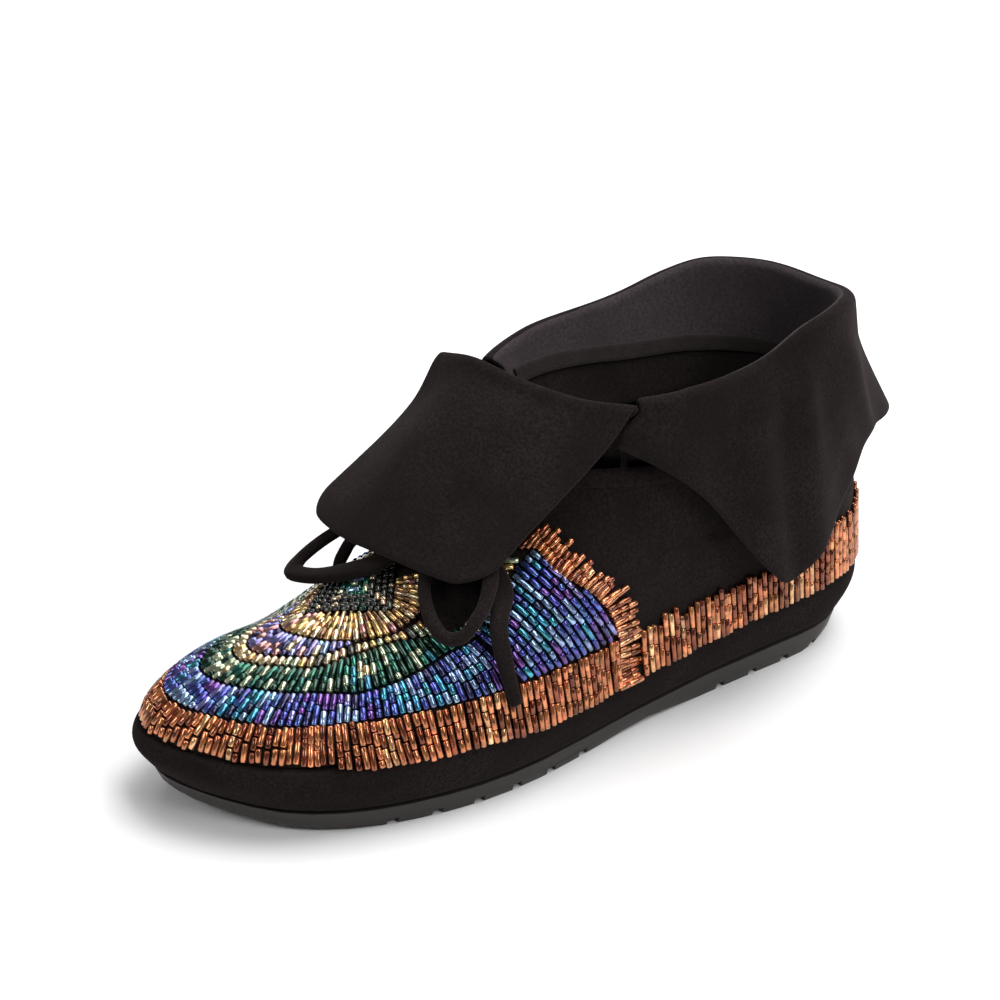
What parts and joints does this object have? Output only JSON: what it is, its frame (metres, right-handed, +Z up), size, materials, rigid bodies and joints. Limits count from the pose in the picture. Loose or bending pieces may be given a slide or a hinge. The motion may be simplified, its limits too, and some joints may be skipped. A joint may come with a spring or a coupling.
{
  "type": "lace-up moccasin boot",
  "caption": "Low moccasin ankle boot for the left foot: hollow suede upper, folded-over cuff and tongue flap, thong tied in a bow, wrapped flat midsole and grooved rubber outsole.",
  "frame": {"origin": "on the floor under the middle of the heel, in the flat spot of the outsole's heel", "axes": "+Z up, the toe along -Y, the outer side of the left foot along +X"},
  "size_m": [0.1029, 0.2691, 0.1186],
  "materials": {
    "rubber": "matte",
    "wrap": "suede nap",
    "lining": "smooth",
    "suede": "suede nap",
    "thong": "suede nap"
  },
  "bodies": {
    "root": {"outsole": "rubber", "midsole": "wrap", "insole": "lining", "upper": "suede", "shaft_cuff": "suede", "tongue_flap": "suede", "lace_bar": "thong", "lace_knot": "thong", "lace_loop_outer": "thong", "lace_loop_inner": "thong", "lace_end_outer": "thong", "lace_end_inner": "thong"}
  },
  "joints": []
}
